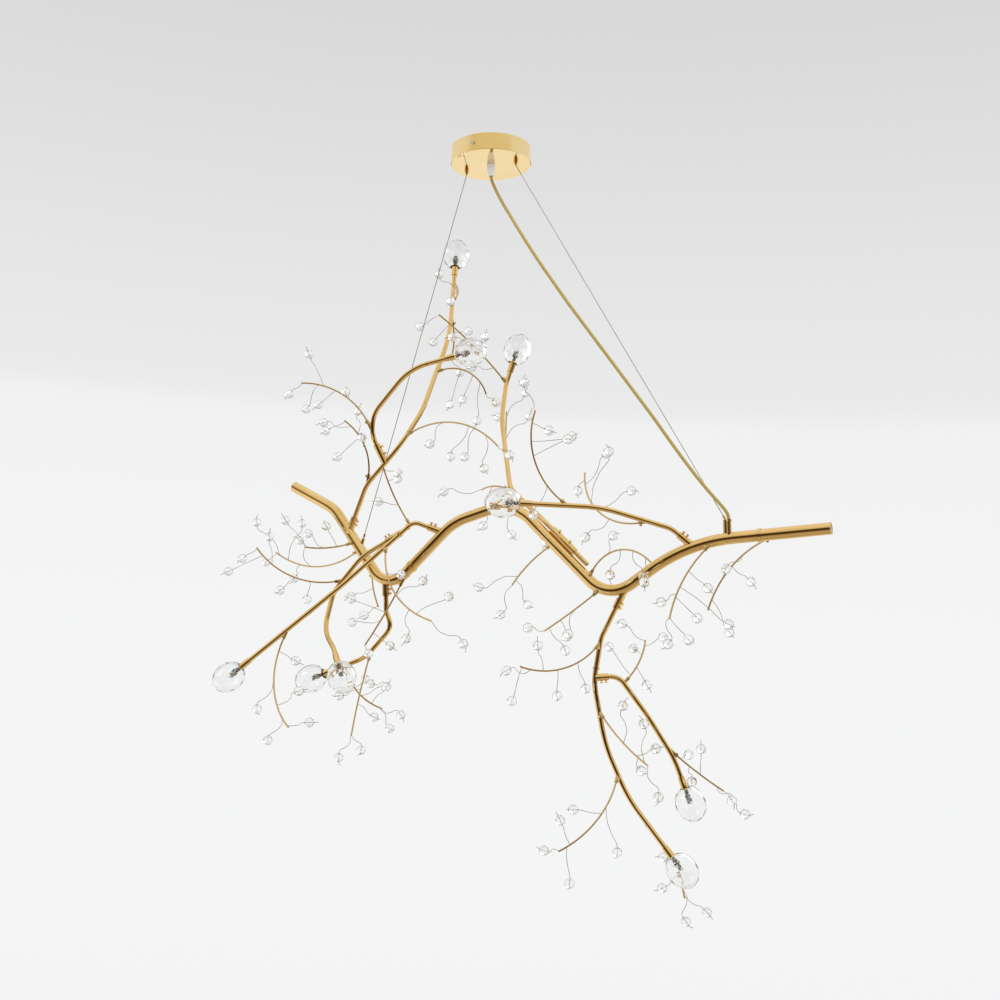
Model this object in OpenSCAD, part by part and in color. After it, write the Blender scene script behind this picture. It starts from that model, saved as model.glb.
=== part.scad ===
// Branch chandelier: a bent trunk tube on two steel cables, nine curved lamp arms that turn in
// brazed sleeves, thin twig rods in clamped sockets, and glass beads threaded on kinked wires.
// The origin is the centre of the canopy's ceiling face, Z is up and X runs along the trunk.

/* [Canopy] */
// Diameter of the ceiling canopy
canopy_d = 120; // [110:5:160]
// Height of the canopy
canopy_h = 25; // [24:1:40]
// Wall of the canopy shell
canopy_wall = 1.2; // [0.8:0.1:2]
// Chamfer round the canopy's lower edge
canopy_edge = 0.8; // [0.4:0.1:1.5]
// Thickness of the ceiling bracket's sheet
bracket_t = 1.5; // [1:0.1:2.5]
// Width of the ceiling bracket
bracket_w = 18; // [14:1:24]
// Width of each ceiling slot
slot_w = 5; // [4:0.5:6]
// Length of each ceiling slot
slot_l = 12; // [8:1:18]
// Distance between the middles of the two ceiling slots
slot_spacing = 70; // [60:1:76]
// Thread of the two screws in the canopy's side
side_screw_d = 4; // [3:0.5:5]
// Length of the lamp driver in the canopy
driver_l = 62; // [50:1:66]
// Width of the lamp driver
driver_w = 28; // [20:1:28]
// Height of the lamp driver
driver_h = 15; // [10:1:16]

/* [Suspension] */
// Diameter of each steel cable
cable_d = 1.2; // [0.8:0.1:2]
// Distance between the two cable grippers
gripper_spacing = 82; // [70:1:90]
// Outer diameter of a cable gripper
gripper_d = 7; // [6:0.5:9]
// Reach of a cable gripper below the canopy
gripper_l = 8; // [6:0.5:12]
// Diameter of the power cord
cord_d = 4.8; // [4:0.2:5.4]
// Outer diameter of the cord grip
grip_d = 12; // [10:0.5:14]
// Reach of the cord grip below the canopy
grip_l = 18; // [14:1:22]
// Diameter of the hanger post on the trunk
post_d = 7; // [6:0.5:9]
// Height of the hanger post above the trunk
post_h = 17; // [12:1:24]

/* [Trunk and arms] */
// Outer diameter of the trunk tube
trunk_d = 16; // [14:0.5:20]
// Wall of the trunk tube
trunk_wall = 1.2; // [0.8:0.1:2]
// Outer diameter of the arm tubes
arm_tube_d = 7; // [6:0.5:8]
// Wall of the arm tubes
arm_wall = 1; // [0.6:0.1:1.4]
// Wall of the sleeves that the arms turn in
sleeve_wall = 1.6; // [1.2:0.1:2.4]
// Running clearance of an arm in its sleeve, each side
turn_gap = 0.05; // [0.03:0.01:0.1]
// Length of an arm's sleeve past the tube that carries it
sleeve_l = 14; // [12:1:16]
// Diameter of the clamp screws' shanks
clamp_screw_d = 2; // [1.6:0.1:2.6]
// Diameter of the clamp screws' heads
clamp_head_d = 4; // [3.5:0.1:5]
// Thickness of the clamp screws' heads
clamp_head_t = 1.4; // [1:0.1:2]

/* [Lamps] */
// Length of the brass cup at the end of an arm
cup_l = 13; // [12:0.5:16]
// Diameter of the cup's rim
cup_d = 10.4; // [10.2:0.2:12]
// Diameter of the glass
glass_d = 42; // [36:1:50]
// Length of the glass
glass_l = 50; // [44:1:60]
// Wall of the glass
glass_wall = 2.4; // [1.6:0.2:3]
// Diameter of the capsule bulb
bulb_d = 8.6; // [7:0.2:9]
// Length of the capsule bulb
bulb_l = 20; // [14:1:26]

/* [Twigs and beads] */
// Diameter of the twig rods
rod_d = 2.5; // [2:0.1:3]
// Clearance of a curved rod in its straight socket, each side
rod_gap = 0.2; // [0.15:0.05:0.3]
// Wall of a twig's socket
socket_wall = 1; // [0.8:0.1:1.4]
// Length of a twig's socket
socket_l = 7; // [6:0.5:9]
// Shank diameter of a twig's thumbscrew
thumb_d = 1.5; // [1.2:0.1:1.8]
// Head diameter of a twig's thumbscrew
thumb_head_d = 3.6; // [3:0.1:5]
// Diameter of the bead wire
wire_d = 0.9; // [0.6:0.1:1.1]
// Diameter of the glass beads
bead_d = 14; // [12:0.5:16]
// Diameter of the hole through a bead
bead_hole_d = 1.6; // [1.5:0.1:2.2]

/* [Hidden] */
LETTERS = ["a", "b", "c", "d", "e", "f", "g", "h", "i"];
PIECES = ["tube", "lamp", "glass", "twigs", "beads"];
$fn = 48;

gold = [0.86, 0.66, 0.32];
steel = [0.75, 0.76, 0.78];
clear_glass = [0.85, 0.92, 0.95, 0.5];
white_nylon = [0.95, 0.95, 0.93];

tiny = 0.001;
seat_gap = 0.15;        // pieces that are brazed or seated lie this far apart
hang_gap = 0.4;         // room for a cord or cable to swing under what holds it
seam = 0.05;            // a bent tube is this much fuller where a bend starts or ends
canopy_r = canopy_d / 2;
hinge_z = -canopy_h - gripper_l;
trunk_r = trunk_d / 2;
arm_r = arm_tube_d / 2;
rod_r = rod_d / 2;
bead_r = bead_d / 2;
sleeve_bore = arm_tube_d + 2 * turn_gap;
sleeve_d = sleeve_bore + 2 * sleeve_wall;
socket_d = rod_d + 2 * rod_gap + 2 * socket_wall;

// ---- routes -----------------------------------------------------------------------------
// A bent tube is a list of corners, each [point, bend radius].

// Trunk: from its flat left end through a valley, a crest and a valley to the long right end
trunk = bends([
    [[-340, 0, -490], 0],
    [[-265, 0, -530], 60],
    [[-170, 0, -660], 35],
    [[-60, 0, -562], 90],
    [[35, 0, -538], 70],
    [[180, 0, -684], 48],
    [[295, 0, -610], 230],
    [[485, 0, -602], 0]]);

// Arms, each tied to a point of the tube that carries it; corners are measured from there
arm_a = arm_on(trunk, 130, [
    [[38, -15, 67], 60], [[98, -15, 125], 80], [[118, 12, 180], 150],
    [[138, 60, 305], 250], [[133, 85, 414], 0]]);
arm_b = arm_on(arm_a, 123, [
    [[-25, -15, 61], 50], [[51, -19, 135], 90], [[115, -15, 145], 0]]);
arm_c = arm_beside(trunk, 612, [
    [[-64, 0, 64], 60], [[-135, 37, 121], 40], [[-165, 70, 234], 150],
    [[-163, 82, 291], 60], [[-157, 86, 314], 0]]);
arm_d = arm_on(trunk, 797, [
    [[-27, -12, 25], 30], [[-110, -58, 53], 200], [[-198, -98, 58], 0]]);
arm_e = arm_on(trunk, 352, [
    [[-39, -20, 16], 15], [[-136, -63, -79], 300], [[-262, -112, -188], 0]]);
arm_f = arm_on(arm_e, 70, [
    [[-68, 5, -30], 60], [[-113, -2, -82], 50], [[-120, -15, -140], 50],
    [[-97, -23, -167], 25], [[-90, -27, -180], 0]]);
arm_g = arm_on(trunk, 231, [
    [[0, 2, -46], 30], [[9, 4, -70], 20], [[-33, 0, -114], 60], [[-92, -5, -134], 0]]);
arm_h = arm_on(trunk, 688, [
    [[-41, 9, -68], 60], [[-55, 16, -128], 80], [[-43, 25, -213], 200],
    [[-15, 35, -283], 200], [[35, 47, -351], 0]]);
arm_i = arm_on(arm_h, 135, [
    [[28, 18, 2], 22], [[63, 35, -52], 200], [[94, 52, -109], 150], [[103, 58, -139], 0]]);
ARMS = [arm_a, arm_b, arm_c, arm_d, arm_e, arm_f, arm_g, arm_h, arm_i];

// Sleeves, by letter: [host, distance along it, host diameter, arm, where the sleeve starts
// along the arm, its length past there, the side its clamp screws face]
SLEEVES = [
    sleeve_on(trunk, 130, trunk_d, arm_a, sleeve_l, [1, 0, 0]),
    sleeve_on(arm_a, 123, arm_tube_d, arm_b, 1.8 * sleeve_l, [1, 0, 0]),
    [trunk, 571, trunk_d, arm_c, 26, 48, [0.7, -0.5, 0.7]],
    sleeve_on(trunk, 797, trunk_d, arm_d, sleeve_l, [0, -0.4, 1]),
    sleeve_on(trunk, 352, trunk_d, arm_e, sleeve_l, [0, -0.4, 1]),
    sleeve_on(arm_e, 70, arm_tube_d, arm_f, sleeve_l, [0, -0.4, 1]),
    sleeve_on(trunk, 231, trunk_d, arm_g, sleeve_l, [1, 0, 0]),
    sleeve_on(trunk, 688, trunk_d, arm_h, sleeve_l, [1, -0.3, 0]),
    sleeve_on(arm_h, 135, arm_tube_d, arm_i, sleeve_l, [0, -0.3, -1])];
TRUNK_ARMS = [0, 2, 3, 4, 6, 7];
// Arms that carry another arm: [host's letter, arm's letter], counted from 0
BRANCHED = [[0, 1], [4, 5], [7, 8]];

// Clamp collars and bands: [tube, distance along it]
TRUNK_COLLARS = [[trunk, 281], [trunk, 888]];
BANDS = [[4, 57], [7, 122]];

// Twigs: [distance of the root along the tube, middle and tip of the rod from the root,
//         drops], and each drop is [distance along the rod, bead's centre from there]
TRUNK_TWIGS = [
    [149, [-25, -25, -10], [-60, -45, -10], [
        [30, [-10, -15, 30]], [50, [-35, 10, 25]], [75, [-50, -10, 30]]]],
    [163, [-85, 30, -20], [-195, 60, 10], [
        [125, [-10, -15, 40]], [150, [-20, 15, -20]], [180, [15, 15, 60]],
        [200, [-40, -15, 50]], [210, [-60, 45, 0]]]],
    [201, [-10, 20, -30], [-10, 35, -55], [
        [35, [-45, 10, -10]], [65, [-15, -15, -15]]]],
    [273, [-27, -10, -55], [-57, -25, -110], [
        [70, [-50, -15, 20]], [85, [-55, 10, 0]], [105, [35, -10, -20]],
        [125, [20, -25, -15]]]],
    [554, [-45, 25, -20], [-90, 55, -50], [
        [25, [-5, 20, 15]], [95, [-55, 10, -25]], [105, [10, 20, -35]],
        [120, [-15, -10, -45]]]],
    [628, [45, -20, 35], [105, -40, 15], [
        [45, [5, 20, 30]], [75, [-10, -15, -35]], [95, [10, 15, -35]],
        [120, [30, -10, -25]]]],
    [651, [-35, -30, -35], [-60, -60, -60], [
        [50, [-15, 10, -35]], [75, [20, -20, -20]], [95, [15, 20, -30]],
        [105, [-30, 10, 5]]]],
    [827, [-35, -25, -50], [-50, -45, -105], [
        [55, [30, -15, -25]], [80, [60, 15, -50]], [90, [-25, 10, -10]],
        [95, [35, -20, -30]], [120, [-10, 15, -40]], [125, [30, -15, -30]]]],
    [922, [-72, 26, -30], [-120, 46, -94], [
        [70, [-20, -15, -20]], [95, [20, 20, -20]], [150, [20, 10, -45]]]]];
ARM_TWIGS = [
    // a
    [[73, [5, -10, 60], [-20, -30, 100], [
        [60, [5, -20, 15]], [80, [-30, -15, -30]], [85, [-10, 15, 40]],
        [100, [-60, 15, 15]], [115, [-25, -15, -15]]]],
    [176, [80, -15, 10], [165, -30, -35], [
        [70, [-10, -20, -35]], [120, [-35, 10, -40]], [130, [-5, -20, -45]],
        [155, [-10, 15, -45]], [180, [15, 10, -15]]]],
    [292, [45, 15, 0], [70, 30, -35], [
        [40, [-25, 10, -50]], [60, [-10, -15, -40]], [75, [-15, 20, -55]],
        [98, [25, -15, -20]]]],
    [393, [0, 10, -35], [-10, 20, -60], [
        [25, [15, 20, 5]], [63, [20, -10, -30]]]],
    [420, [20, -20, 5], [30, -50, 10], [
        [25, [-30, -5, 35]], [50, [-5, -10, -25]]]]],
    // b
    [[46, [-35, -10, 55], [-110, -30, 85], [
        [70, [-15, 15, 15]], [95, [-40, 15, -15]], [115, [-40, 10, 55]],
        [125, [-10, -15, -40]], [150, [-20, -10, -15]]]]],
    // c
    [[182, [-30, 10, 10], [-65, 30, 10], [
        [25, [10, 15, -70]], [45, [-10, -10, -60]], [73, [-60, 10, -5]]]],
    [248, [-12, 25, 30], [-20, 45, 75], [
        [40, [30, 20, 35]], [70, [-25, 30, 25]], [83, [20, 10, 40]]]],
    [368, [-35, -30, 50], [-80, -70, 100], [
        [30, [-20, -35, -5]], [50, [5, -15, 30]], [90, [-15, -20, 5]],
        [125, [-20, -15, -30]], [145, [-40, 10, -10]]]]],
    // d
    [[72, [-70, 15, 15], [-105, 40, 80], [
        [60, [-30, -15, -25]], [90, [45, 20, 25]], [105, [35, -20, 65]],
        [135, [15, 15, 50]], [152, [-15, 10, -20]]]],
    [180, [-40, -15, 55], [-30, -40, 125], [
        [40, [-30, 20, -35]], [85, [50, 15, 25]], [105, [60, -15, -5]],
        [130, [20, 10, -10]], [148, [-10, -10, 40]]]]],
    // e
    [[52, [-20, -5, 35], [-35, -20, 85], [
        [35, [-25, -15, 5]], [75, [5, 20, 5]], [95, [30, -10, -10]]]],
    [98, [25, -30, -60], [105, -55, -115], [
        [50, [35, -20, -5]], [95, [35, 15, 20]], [130, [-15, 20, -40]],
        [145, [60, -15, 20]], [173, [50, 10, -25]]]],
    [284, [-5, -25, -85], [35, -45, -140], [
        [35, [40, -15, -15]], [80, [-35, 10, -40]], [120, [50, -20, 20]],
        [145, [-35, 15, -30]], [160, [35, -10, -20]]]]],
    // f
    [[120, [-55, -20, 0], [-125, -45, 50], [
        [50, [-15, 15, -25]], [75, [-15, -15, -20]], [115, [-25, 15, 45]],
        [135, [-70, 10, -20]], [154, [-20, -10, -15]]]]],
    // g
    [[117, [-30, 20, -60], [-60, 45, -125], [
        [50, [25, -20, -5]], [65, [-25, -20, -10]], [90, [20, 15, -20]],
        [135, [25, -15, -30]], [145, [-15, 10, -35]]]],
    [161, [0, 30, -40], [25, 60, -65], [
        [45, [5, 20, 15]], [60, [25, 20, 15]], [80, [35, -15, 25]],
        [92, [40, 10, -15]], [96, [25, -15, -30]]]]],
    // h
    [[84, [-35, -30, -35], [-90, -70, -35], [
        [45, [5, 15, -35]], [75, [5, -15, -35]], [95, [-15, 15, 35]],
        [110, [-40, -15, 5]], [125, [-20, 10, -45]]]],
    [181, [40, -20, -40], [85, -45, -70], [
        [65, [5, -15, 50]], [85, [5, 20, -25]], [95, [35, -20, -5]],
        [112, [-5, 15, 50]], [118, [25, -10, -35]]]],
    [270, [-10, -25, -45], [-65, -55, -100], [
        [50, [10, 15, -60]], [60, [-35, -15, 5]], [120, [-20, 15, 30]],
        [125, [10, -15, -45]], [138, [-30, 10, -5]]]],
    [340, [20, 40, -45], [30, 75, -110], [
        [90, [-25, 20, 10]], [105, [-20, -15, -15]], [120, [10, -15, -45]],
        [135, [25, 15, -25]]]]],
    // i
    [[43, [15, 15, 25], [20, 35, 60], [
        [15, [-35, 10, 40]], [30, [20, -15, -25]], [50, [-20, 20, 10]],
        [63, [15, 20, 20]], [72, [-30, -10, 25]]]],
    [147, [30, 20, -30], [65, 45, -60], [
        [25, [5, 20, 5]], [40, [10, -20, -20]], [60, [5, -10, 35]],
        [85, [25, 10, -20]], [99, [35, -15, -30]]]]]];

// Power cord: the points it hangs along, from the cord grip to the flared tube on the trunk
CORD_POINTS = [
    [0, 0, -44], [2, 0, -52], [8, 0, -66], [18, 0, -86], [32, -1, -110], [48, -3, -137],
    [65, -4, -165], [84, -5, -195], [104, -6, -225], [124, -7, -255], [145, -8, -285],
    [166, -8, -315], [187, -8, -345], [208, -8, -375], [229, -8, -405], [250, -8, -435],
    [270, -8, -465], [289, -8, -493], [306, -8, -517], [321, -8, -537], [333, -7, -552],
    [342, -6, -563], [348, -5, -571], [351, -4, -577], [352, -4, -583]];
cord_sides = 10;

// ---- vectors ----------------------------------------------------------------------------
function unit(v) = v / norm(v);
function clamped(x) = max(-1, min(1, x));
function angle_of(a, b) = acos(clamped(unit(a) * unit(b)));
function square_to(v, axis) = unit(v - (v * axis) * axis);

// The z axis turned to direction d, starting at p
module aim(p, d) {
    u = unit(d);
    flat = norm([u[0], u[1]]);
    translate(p)
        rotate([0, acos(clamped(u[2])), flat < tiny ? 0 : atan2(u[1], u[0])])
            children();
}

module frame_of(p, x, y, z)
    multmatrix([
        [x[0], y[0], z[0], p[0]],
        [x[1], y[1], z[1], p[1]],
        [x[2], y[2], z[2], p[2]],
        [0, 0, 0, 1]])
        children();

module bar(a, b, d)
    aim(a, b - a)
        cylinder(h = norm(b - a), d = d);

// ---- bent tubes -------------------------------------------------------------------------
// A corner becomes [start of its arc, end of its arc, turn, direction in, direction out, radius]
function bend(p, i) =
    let (
        a = unit(p[i][0] - p[i - 1][0]),
        b = unit(p[i + 1][0] - p[i][0]),
        turn = angle_of(a, b),
        cut = p[i][1] * tan(turn / 2))
    [p[i][0] - a * cut, p[i][0] + b * cut, turn, a, b, p[i][1]];
function bends(p) =
    [for (i = [0:len(p) - 1])
        i == 0 || i == len(p) - 1 ? [p[i][0], p[i][0], 0, [0, 0, 1], [0, 0, 1], 0] : bend(p, i)];

// Point and direction at a distance along a bent tube's centre line
function on_tube(b, s, i = 0) =
    let (
        step = b[i + 1][0] - b[i][1],
        left = s - norm(step),
        arc = b[i + 1][5] * b[i + 1][2] * PI / 180)
    left <= 0 || i == len(b) - 2 ? [b[i][1] + unit(step) * s, unit(step)]
    : left <= arc ? on_bend(b[i + 1], left / b[i + 1][5] * 180 / PI)
    : on_tube(b, left - arc, i + 1);
function on_bend(c, t) =
    let (inward = cross(unit(cross(c[3], c[4])), c[3]))
    [c[0] + inward * c[5] * (1 - cos(t)) + c[3] * c[5] * sin(t), c[3] * cos(t) + inward * sin(t)];

function arm_from(root, corners) =
    bends(concat([[root, 0]], [for (c = corners) [root + c[0], c[1]]]));
function arm_on(host, s, corners) = arm_from(on_tube(host, s)[0], corners);
// An arm whose sleeve lies along the upper side of the tube that carries it
function arm_beside(host, s, corners) =
    let (at = on_tube(host, s))
    arm_from(at[0] + [-at[1][2], 0, at[1][0]] * (trunk_r + sleeve_d / 2 + 2 * seat_gap), corners);

function first_way(b) = unit(b[1][0] - b[0][0]);
function last_way(b) = unit(b[len(b) - 1][0] - b[len(b) - 2][1]);
function tube_end(b) = b[len(b) - 1][0];

// Solid along a bent tube, starting `lead` along it and running `over` past both ends
module along(b, d, lead = 0, over = 0) {
    last = len(b) - 1;
    for (i = [0:last - 1]) {
        way = unit(b[i + 1][0] - b[i][1]);
        from = b[i][1] + (i == 0 ? way * (lead - over) : [0, 0, 0]);
        to = b[i + 1][0] + (i == last - 1 ? way * over : [0, 0, 0]);
        bar(from, to, d);
    }
    for (i = [1:last - 1])
        bend_solid(b[i], d, last == 3 && b[2][5] > 150);
}

// The balls that close the seams turn with the tube where it has two bends, the last a wide one
module bend_solid(c, d, turned) {
    axis = unit(cross(c[3], c[4]));
    inward = cross(axis, c[3]);
    frame_of(c[0] + inward * c[5], -inward, c[3], axis)
        rotate_extrude(angle = c[2])
            translate([c[5], 0])
                circle(d = d);
    for (i = [0, 1])
        aim(c[i], turned ? c[3 + i] : [0, 0, 1])
            sphere(d = d + 2 * seam);
}

module hollow_tube(b, d, wall, lead = 0)
    difference() {
        along(b, d, lead);
        along(b, d - 2 * wall, lead, 1);
    }

module collar(b, s, d, wall, length) {
    at = on_tube(b, s);
    aim(at[0] - at[1] * length / 2, at[1])
        difference() {
            cylinder(h = length, d = d + 2 * seat_gap + 2 * wall);
            translate([0, 0, -1])
                cylinder(h = length + 2, d = d + 2 * seat_gap);
        }
}

// ---- sleeves and clamp screws -----------------------------------------------------------
// Where an arm can start so that its square end clears the round tube that carries it
function sleeve_on(host, s, host_d, arm, length, side) =
    let (tilt = angle_of(on_tube(host, s)[1], first_way(arm)))
    [host, s, host_d, arm, (host_d + arm_tube_d * abs(cos(tilt))) / 2 / sin(tilt) + 0.5, length, side];
function screw_places(sleeve) = [sleeve[4] + 0.3 * sleeve[5], sleeve[4] + 0.75 * sleeve[5]];
function is_beside(sleeve) = sleeve[4] > 20;

module sleeve(sleeve) {
    way = first_way(sleeve[3]);
    root = sleeve[3][0][0];
    start = is_beside(sleeve) ? sleeve[4] : 0;
    host = on_tube(sleeve[0], sleeve[1]);
    difference() {
        bar(root + way * start, root + way * (sleeve[4] + sleeve[5]), sleeve_d);
        bar(root + way * (start - 1), root + way * (sleeve[4] + sleeve[5] + 1), sleeve_bore);
        bar(host[0] - host[1] * 40, host[0] + host[1] * 40, sleeve[2] + 2 * seat_gap);
        for (s = screw_places(sleeve))
            bar(root + way * s, root + way * s + square_to(sleeve[6], way) * sleeve_d,
                clamp_screw_d + 2 * turn_gap);
    }
}

module clamp_screws(sleeve)
    for (s = screw_places(sleeve)) {
        way = first_way(sleeve[3]);
        aim(sleeve[3][0][0] + way * s, square_to(sleeve[6], way)) {
            translate([0, 0, arm_r + turn_gap])
                cylinder(h = sleeve_d / 2 + 2 - arm_r, d = clamp_screw_d);
            translate([0, 0, sleeve_d / 2 + 2])
                cylinder(h = clamp_head_t, d = clamp_head_d);
        }
    }

// ---- twigs ------------------------------------------------------------------------------
// Arc through three points: [centre, axis to the start, axis across, normal, radius, turn]
function arc_of(a, b, c) =
    let (
        u = b - a,
        v = c - a,
        w = cross(u, v),
        centre = a + ((v * v) * cross(w, u) + (u * u) * cross(v, w)) / (2 * (w * w)),
        x = unit(a - centre),
        z = unit(w),
        y = cross(z, x),
        turn = atan2((c - centre) * y, (c - centre) * x))
    [centre, x, y, z, norm(a - centre), turn < 0 ? turn + 360 : turn];
function on_arc(k, s) =
    let (t = s / k[4] * 180 / PI)
    [k[0] + k[4] * (k[1] * cos(t) + k[2] * sin(t)), k[2] * cos(t) - k[1] * sin(t)];

// A twig placed on its tube: [its arc, its root on the tube, where it comes out along the arc,
// where the rod starts along the arc, its drops, the tube under its socket]
function placed_twig(b, d, twig) =
    let (
        host = on_tube(b, twig[0]),
        k = arc_of(host[0], host[0] + twig[1], host[0] + twig[2]),
        tilt = angle_of(k[2], host[1]),
        out = d / 2 / sin(tilt))
    [k, host, out, out + rod_r * abs(cos(tilt)) / sin(tilt) + 2 * seat_gap, twig[3],
        on_tube(b, twig[0] + out * cos(tilt))];

module rod(placed) {
    k = placed[0];
    from = placed[3] / k[4] * 180 / PI;
    frame_of(k[0], k[1] * cos(from) + k[2] * sin(from), k[2] * cos(from) - k[1] * sin(from), k[3])
        rotate_extrude(angle = k[5] - from)
            translate([k[4], 0])
                circle(d = rod_d);
}

// A twig's clamp screw stands square to the rod and to its tube, on the front
function thumb_side(at, host) =
    let (n = unit(cross(at[1], host[1])))
    n[1] > 0 ? -n : n;

module socket(placed, d) {
    at = on_arc(placed[0], placed[2] + socket_l / 2);
    seat = placed[5];
    difference() {
        bar(at[0] - at[1] * (socket_l + placed[2]) / 2, at[0] + at[1] * socket_l / 2, socket_d);
        bar(at[0] - at[1] * socket_l, at[0] + at[1] * socket_l, rod_d + 2 * rod_gap);
        bar(seat[0] - seat[1] * 20, seat[0] + seat[1] * 20, d + 2 * seat_gap);
        bar(at[0], at[0] + thumb_side(at, placed[1]) * socket_d, thumb_d + 2 * turn_gap);
    }
}

module thumbscrew(placed) {
    at = on_arc(placed[0], placed[2] + socket_l / 2);
    aim(at[0], thumb_side(at, placed[1])) {
        translate([0, 0, rod_r + turn_gap])
            cylinder(h = socket_d / 2 + 1.5 - rod_r, d = thumb_d);
        translate([0, 0, socket_d / 2 + 1.5])
            cylinder(h = 1.2, d = thumb_head_d);
    }
}

module twigs(b, d, list)
    color(gold)
        for (twig = list) {
            placed = placed_twig(b, d, twig);
            rod(placed);
            socket(placed, d);
            thumbscrew(placed);
        }

// ---- beads and their wires --------------------------------------------------------------
// Where drop i hangs on a twig: [point, rod's direction, bead's centre from there].
// It stays on the rod, and no wire leaves its rod at less than 45 degrees.
function hung_at(placed, i) =
    let (
        k = placed[0],
        drop = placed[4][i],
        at = on_arc(k, min(drop[0], k[4] * k[5] * PI / 180 - 2)))
    [at[0], at[1], turned_out(drop[1], at[1])];
function turned_out(reach, along_rod) =
    let (lean = unit(reach) * along_rod)
    abs(lean) < cos(45) ? reach
    : norm(reach) * (sign(lean) * cos(45) * along_rod + sin(45) * square_to(reach, along_rod));

// Kinks of a wire from a point on a rod to a bead `reach` away, and its short hooked tail
function wire_points(p, along_rod, reach, way) =
    let (
        u = unit(reach),
        n = way * unit(cross(u, along_rod)),
        tilt = angle_of(u, along_rod),
        start = (rod_r + wire_d * abs(cos(tilt))) / sin(tilt) + 2 * seat_gap,
        run = norm(reach) - bead_r - 4 - start,
        wave = min(6, 0.2 * run),
        turn_in = p + reach - u * (bead_r + 4) - n * wave,
        through = unit(p + reach - turn_in),
        out = p + reach + through * (bead_r + 1.5))
    [
        p + u * start,
        p + u * (start + 0.35 * run) + n * wave,
        p + u * (start + 0.7 * run) + n * wave / 2,
        turn_in,
        out,
        out + through * 2 + n * 4];

// Square wire swept along its kinks, which lie in one plane, and mitred at each
module wire(points) {
    last = len(points) - 1;
    ways = [for (i = [0:last - 1]) unit(points[i + 1] - points[i])];
    x = unit(cross(ways[1], ways[0]));
    polyhedron(
        points = [for (i = [0:last])
            let (
                out = ways[min(i, last - 1)],
                mitre = unit(ways[max(i - 1, 0)] + out),
                y = cross(mitre, x) / (mitre * out))
            each ring(points[i], x, y, wire_d / 2, 4)],
        faces = tube_faces(last + 1, 4),
        convexity = 6);
}

function ring(p, x, y, r, count) =
    [for (k = [0:count - 1]) p + r * (x * cos(k * 360 / count) + y * sin(k * 360 / count))];
function tube_faces(rings, count) = concat(
    [[for (k = [0:count - 1]) k]],
    [for (i = [0:rings - 2]) for (k = [0:count - 1])
        let (a = i * count + k, b = i * count + (k + 1) % count)
        [a, a + count, b + count, b]],
    [[for (k = [0:count - 1]) rings * count - 1 - k]]);

module bead(p, through)
    aim(p, through)
        difference() {
            sphere(d = bead_d);
            translate([0, 0, -bead_d])
                cylinder(h = 2 * bead_d, d = bead_hole_d);
        }

module beads(b, d, list)
    for (twig = list) {
        placed = placed_twig(b, d, twig);
        for (i = [0:len(placed[4]) - 1]) {
            at = hung_at(placed, i);
            points = wire_points(at[0], at[1], at[2], i % 2 == 0 ? 1 : -1);
            color(gold)
                wire(points);
            color(clear_glass)
                bead(at[0] + at[2], unit(points[4] - points[3]));
        }
    }

// ---- lamps ------------------------------------------------------------------------------
module on_end(b)
    aim(tube_end(b), last_way(b))
        children();

cup_bore = cup_d / 2 - 1.4;
module cup(b)
    on_end(b)
        rotate_extrude()
            polygon([
                [arm_r + seat_gap, -5], [arm_r + 1, -5], [cup_d / 2, cup_l], [cup_bore, cup_l],
                [cup_bore, cup_l - 8], [1.5, cup_l - 8], [1.5, seat_gap],
                [arm_r + seat_gap, seat_gap]]);

module lamp(b)
    on_end(b) {
        color(white_nylon)
            translate([0, 0, cup_l - 8 + seat_gap])
                cylinder(h = 8, r = cup_bore - seat_gap);
        color(clear_glass)
            translate([0, 0, cup_l + 2 * seat_gap])
                rotate_extrude()
                    polygon(concat(
                        [[0, 0], [bulb_d / 2, 0]],
                        [for (t = [0:15:90])
                            [bulb_d / 2 * cos(t), bulb_l - bulb_d / 2 * (1 - sin(t))]]));
    }

// The glass is an egg-shaped shell; its neck goes round the cup's rim
neck_r = cup_d / 2 + seat_gap;
module glass(b) {
    inner_r = glass_d / 2 - glass_wall;
    inner_h = glass_l / 2 - glass_wall;
    neck_in = asin(neck_r / inner_r);
    neck_out = asin((neck_r + glass_wall) / glass_d * 2);
    middle = cup_l - 1 + inner_h * cos(neck_in);
    color(clear_glass)
        on_end(b)
            translate([0, 0, middle])
                rotate_extrude()
                    polygon(concat(
                        egg(inner_r, inner_h, neck_in),
                        [for (i = [12:-1:0]) egg(glass_d / 2, glass_l / 2, neck_out)[i]]));
}
function egg(r, h, from) =
    [for (i = [0:12]) let (t = from + i * (180 - from) / 12) [max(0, r * sin(t)), -h * cos(t)]];

// ---- nodes of the trunk and the arms ----------------------------------------------------
module trunk_tube()
    color(gold)
        hollow_tube(trunk, trunk_d, trunk_wall);

plug_l = 4;
module trunk_end_plugs()
    color(gold)
        for (end = [[trunk[0][0], first_way(trunk)], [tube_end(trunk), -last_way(trunk)]])
            aim(end[0] + end[1] * 0.5, end[1])
                cylinder(h = plug_l, d = trunk_d - 2 * trunk_wall - 2 * seat_gap);

module trunk_sleeves()
    color(gold) {
        for (i = TRUNK_ARMS) {
            sleeve(SLEEVES[i]);
            clamp_screws(SLEEVES[i]);
        }
        for (c = TRUNK_COLLARS)
            collar(c[0], c[1], trunk_d, 1, 5);
    }

module trunk_twigs()
    twigs(trunk, trunk_d, TRUNK_TWIGS);

module trunk_beads()
    beads(trunk, trunk_d, TRUNK_TWIGS);

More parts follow.
